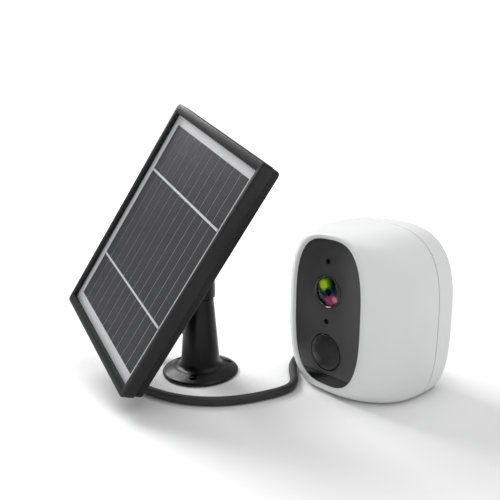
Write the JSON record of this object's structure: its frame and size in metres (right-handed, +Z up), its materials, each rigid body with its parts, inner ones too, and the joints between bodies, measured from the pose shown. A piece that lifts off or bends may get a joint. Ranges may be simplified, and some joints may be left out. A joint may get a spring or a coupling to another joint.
{
  "type": "solar security camera",
  "caption": "White rounded battery camera with a dark face plate, wired by a short lead to a tilting solar panel on a round-foot stand.",
  "frame": {"origin": "middle of the camera housing's footprint, on the surface that the camera and the stand rest on", "axes": "+Z up; -Y the way the camera looks; +X to the right as seen from the front of the camera"},
  "size_m": [0.1853, 0.2048, 0.1612],
  "materials": {
    "white_abs": "fine matte moulded housing",
    "grey_gasket": "matte seal",
    "smoked_plate": "satin smoked acrylic",
    "dark_window": "deep gloss infrared window",
    "dark_gloss": "gloss lens surround",
    "clear_glass": "clear gloss",
    "black_satin": "satin moulded black",
    "black_matte": "matte moulded black",
    "black_dome": "soft gloss polyethylene lens",
    "circuit_board": "green solder mask",
    "steel": "bright",
    "dark_steel": "blackened",
    "cell_wrap": "heat-shrunk film",
    "grey_rubber": "matte light grey silicone",
    "black_rubber": "soft matte black",
    "brass_insert": "turned",
    "backsheet_white": "laminated sheet",
    "solar_silicon": "dark grey silicon under glass",
    "tinned_copper": "flat tinned ribbon"
  },
  "bodies": {
    "base": {"front_shell": "white_abs", "rear_cap": "white_abs", "seam_gasket": "grey_gasket", "face_plate": "smoked_plate", "ir_window": "dark_window", "lens_ring": "dark_gloss", "lens_window": "clear_glass", "front_element": "clear_glass", "lens_barrel": "black_satin", "lens_holder": "black_matte", "image_sensor_board": "circuit_board", "ir_lamp_board": "circuit_board", "pir_dome": "black_dome", "pir_sensor": "steel", "status_light": "clear_glass", "microphone": "steel", "chassis_plate": "black_matte", "chassis_screws": "steel", "main_board": "circuit_board", "battery_cells": "cell_wrap", "battery_cradle": "black_matte", "speaker": "black_matte", "wireless_antenna": "circuit_board", "port_board": "circuit_board", "usb_socket": "steel", "card_socket": "steel", "tripod_insert": "brass_insert", "foot_pad": "grey_rubber", "stand_column": "black_satin", "stand_pad": "black_rubber", "cord_grommet": "black_rubber", "pan_screw": "dark_steel", "solar_cord": "black_rubber", "plug_boot": "black_rubber", "plug_body": "black_matte", "plug_tip": "steel"},
    "swivel": {"swivel_fork": "black_satin", "tilt_nut": "dark_steel"},
    "knuckle": {"tilt_knuckle": "black_satin"},
    "panel": {"panel_bezel": "black_satin", "panel_glass": "clear_glass", "white_backsheet": "backsheet_white", "cell_strips": "solar_silicon", "bus_ribbons": "tinned_copper", "panel_back": "black_satin", "panel_screws": "dark_steel", "charge_board": "circuit_board", "turning_plate": "black_matte"},
    "tilt_screw": {"tilt_knob": "black_satin", "tilt_bolt": "dark_steel"},
    "card": {"memory_card": "black_matte"},
    "button": {"power_button": "grey_rubber"},
    "flap": {"port_flap": "grey_rubber"}
  },
  "joints": [
    {"name": "pan_swivel", "type": "hinge", "parent": "base", "child": "swivel", "pos_m": [-0.0716, -0.0646, 0.05], "axis": [0, 0, 1], "range_deg": [-60, 20]},
    {"name": "panel_tilt", "type": "hinge", "parent": "swivel", "child": "knuckle", "pos_m": [-0.0716, -0.0646, 0.072], "axis": [-1, 0, 0], "range_deg": [-2, 45]},
    {"name": "panel_roll", "type": "hinge", "parent": "knuckle", "child": "panel", "pos_m": [-0.0716, -0.0646, 0.072], "axis": [0, -0.9135, 0.4067], "range_deg": [-69, 111]},
    {"name": "tilt_knob", "type": "hinge", "parent": "swivel", "child": "tilt_screw", "pos_m": [-0.0716, -0.0646, 0.072], "axis": [1, 0, 0], "continuous": true},
    {"name": "card_slide", "type": "slide", "parent": "base", "child": "card", "axis": [0, 1, 0], "range_m": [0, 0.012]},
    {"name": "button_press", "type": "slide", "parent": "base", "child": "button", "axis": [0, -1, 0], "range_m": [0, 0.0006], "stiffness_N_per_m": 800},
    {"name": "flap_hinge", "type": "hinge", "parent": "base", "child": "flap", "pos_m": [0, 0.03, 0.0237], "axis": [1, 0, 0], "range_deg": [-8, 15]}
  ]
}
